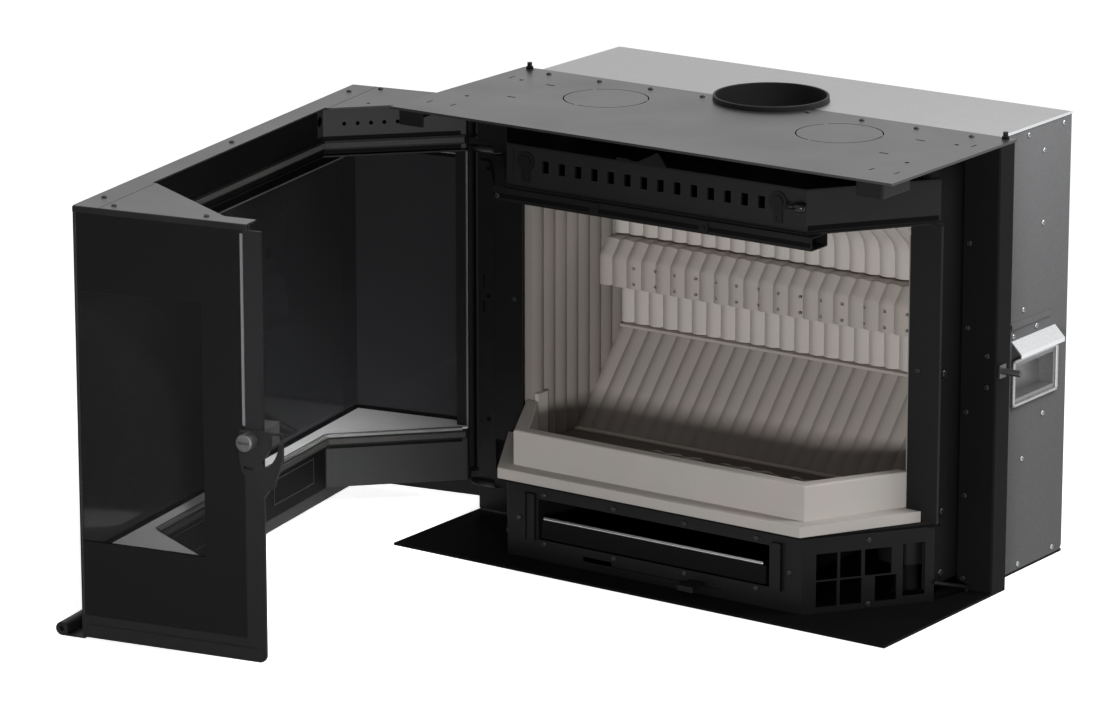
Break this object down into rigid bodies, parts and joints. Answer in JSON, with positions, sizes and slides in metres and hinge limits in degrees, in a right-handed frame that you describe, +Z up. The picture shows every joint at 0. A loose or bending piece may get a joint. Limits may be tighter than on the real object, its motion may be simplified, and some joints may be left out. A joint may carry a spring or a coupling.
{
  "type": "fireplace insert",
  "caption": "Steel fireplace insert with a three-sided bay, pale fluted firebox lining, ash drawer, air controls and a hinged box-shaped glass door.",
  "frame": {"origin": "underside of the base plate, under the rear edge of the top plate, on the plane of symmetry", "axes": "+X to the right seen from the front, +Y to the rear (the fire faces -Y), +Z up; the door is drawn open"},
  "size_m": [0.956, 0.9626, 0.554],
  "materials": {
    "black_steel": "matt black stove paint",
    "galvanised_steel": "galvanised sheet",
    "bright_steel": "bright",
    "grey_panel": "satin grey",
    "black_iron": "matt black",
    "glass": "clear ceramic glass with a black printed border",
    "lining_board": "pale fluted vermiculite board, matt",
    "knob_black": "glossy black",
    "rope_seal": "glass-fibre rope"
  },
  "bodies": {
    "fixed": {"air_box_discs": "black_steel", "air_box_front": "black_steel", "air_box_shell": "black_steel", "air_wash_duct": "black_steel", "base_plate": "black_steel", "blower_motor": "galvanised_steel", "blower_scroll": "black_steel", "casing_screws": "galvanised_steel", "casing_top": "galvanised_steel", "casing_wrap": "galvanised_steel", "column_left": "black_steel", "column_right": "black_steel", "drawer_tunnel": "black_steel", "firebox_floor": "black_steel", "firebox_shell": "black_steel", "flue_collar": "black_iron", "front_posts": "black_steel", "hearth_floor": "black_iron", "hearth_grate": "black_iron", "hearth_tray": "lining_board", "hinge_brackets": "black_steel", "hinge_strip": "black_steel", "latch_striker": "black_iron", "lining_back_slope": "lining_board", "lining_back_upper": "lining_board", "lining_left": "lining_board", "lining_right": "lining_board", "link_rod": "black_steel", "panel_screws": "black_steel", "perforated_beam": "lining_board", "plinth": "black_steel", "recess_cups": "galvanised_steel", "recess_hoods": "galvanised_steel", "smoke_baffle": "lining_board", "top_plate": "black_steel"},
    "door": {"door_cap": "black_steel", "door_edge_trim": "bright_steel", "door_flanges": "black_steel", "door_frame_upper": "black_steel", "door_gasket": "rope_seal", "door_glass_free": "glass", "door_glass_front": "glass", "door_glass_hinge": "glass", "door_hinge_arms": "black_steel", "door_pull_rail": "black_steel", "door_screws": "black_steel", "door_seal_frame": "black_steel", "door_shelf_lower": "grey_panel", "door_shelf_upper": "black_steel", "door_side_plate_free": "black_steel", "door_skirt": "black_steel", "latch_block": "black_steel"},
    "latch": {"latch_hook": "black_iron", "latch_hub": "black_iron"},
    "damper": {"damper_slide": "black_steel", "damper_knob": "knob_black"},
    "control": {"air_control": "black_steel"},
    "drawer": {"ash_drawer": "black_steel", "drawer_rod": "bright_steel"},
    "wheel": {"blower_wheel": "galvanised_steel"}
  },
  "joints": [
    {"name": "door_hinge", "type": "hinge", "parent": "fixed", "child": "door", "pos_m": [-0.337, -0.0696, 0.25], "axis": [0, 0, 1], "range_deg": [-12, 79.4]},
    {"name": "latch_turn", "type": "hinge", "parent": "door", "child": "latch", "pos_m": [-0.19536, -0.74711, 0.269], "axis": [0.184, -0.9829, 0], "range_deg": [0, 60]},
    {"name": "damper_slide_x", "type": "slide", "parent": "fixed", "child": "damper", "axis": [1, 0, 0], "range_m": [-0.01, 0]},
    {"name": "air_control_x", "type": "slide", "parent": "fixed", "child": "control", "axis": [1, 0, 0], "range_m": [-0.12, 0.02]},
    {"name": "ash_drawer_y", "type": "slide", "parent": "fixed", "child": "drawer", "axis": [0, 1, 0], "range_m": [-0.14, 0]},
    {"name": "wheel_spin", "type": "hinge", "parent": "fixed", "child": "wheel", "pos_m": [0.258, -0.078, 0.06], "axis": [0, 0, 1], "continuous": true}
  ]
}
